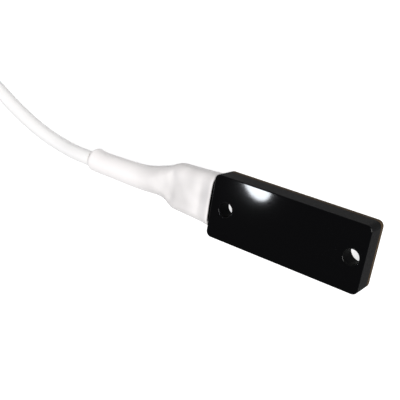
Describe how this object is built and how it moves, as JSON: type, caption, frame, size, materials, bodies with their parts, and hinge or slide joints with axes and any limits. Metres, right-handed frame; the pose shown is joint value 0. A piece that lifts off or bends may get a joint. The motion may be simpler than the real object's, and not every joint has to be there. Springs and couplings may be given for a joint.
{
  "type": "door contact sensor",
  "caption": "Slim surface-mounted magnetic door contact: a screw-fixed black housing with a sealed reed switch, a flat neck under a shrink sleeve, and a round white lead with ferruled cores.",
  "frame": {"origin": "centre of the mounting face, the flat back of the housing", "axes": "+X along the housing, away from the lead; +Z out of the front face; +Y across"},
  "size_m": [0.2632, 0.0476, 0.0124],
  "materials": {
    "housing_black": "polished front face, satin sides, moulded",
    "cover_black": "satin, moulded",
    "resin_black": "cured casting resin",
    "board_green": "solder mask on glass laminate",
    "reed_glass": "drawn glass tube, sealed at both ends",
    "reed_metal": "plated nickel-iron",
    "solder": "reflowed solder",
    "tinned_copper": "tinned",
    "resistor_black": "glazed ceramic",
    "core_white": "soft PVC",
    "core_brown": "soft PVC",
    "core_green": "soft PVC",
    "core_yellow": "soft PVC",
    "sleeve_white": "shrunk polyolefin, slightly translucent",
    "glue_clear": "hot-melt lining",
    "cable_white": "extruded PVC jacket",
    "tie_black": "plastic-coated wire tie",
    "collar_grey": "nylon"
  },
  "bodies": {
    "sensor": {"housing": "housing_black", "back_cover": "cover_black", "potting_fill": "resin_black", "circuit_board": "board_green", "reed_glass": "reed_glass", "reed_lead_near": "reed_metal", "reed_lead_far": "reed_metal", "solder_joints": "solder", "resistor_bodies": "resistor_black", "resistor_end_caps": "solder", "lead_in_sleeve": "cable_white", "neck_resin": "resin_black", "core_white": "core_white", "core_brown": "core_brown", "core_green": "core_green", "core_yellow": "core_yellow", "core_tips": "tinned_copper", "heat_shrink_sleeve": "sleeve_white", "sleeve_glue": "glue_clear", "cable_jacket": "cable_white", "cable_tail": "cable_white", "cable_hank": "cable_white", "hank_tie_front": "tie_black", "hank_tie_rear": "tie_black", "tail_core_white": "core_white", "tail_core_brown": "core_brown", "tail_core_green": "core_green", "tail_core_yellow": "core_yellow", "ferrule_collars": "collar_grey", "ferrule_pins": "tinned_copper"},
    "blade_near": {"reed_blade_near": "reed_metal"},
    "blade_far": {"reed_blade_far": "reed_metal"}
  },
  "joints": [
    {"name": "reed_near_flex", "type": "hinge", "parent": "sensor", "child": "blade_near", "pos_m": [-0.0034, 0, 0.00462], "axis": [0, -1, 0], "range_deg": [0, 0.5], "stiffness_Nm_per_rad": 0.0002},
    {"name": "reed_far_flex", "type": "hinge", "parent": "sensor", "child": "blade_far", "pos_m": [0.0066, 0, 0.00492], "axis": [0, -1, 0], "range_deg": [0, 0.5], "stiffness_Nm_per_rad": 0.0002}
  ],
  "couplings": [
    {"joint": "reed_far_flex", "follows": "reed_near_flex", "ratio": 1}
  ]
}
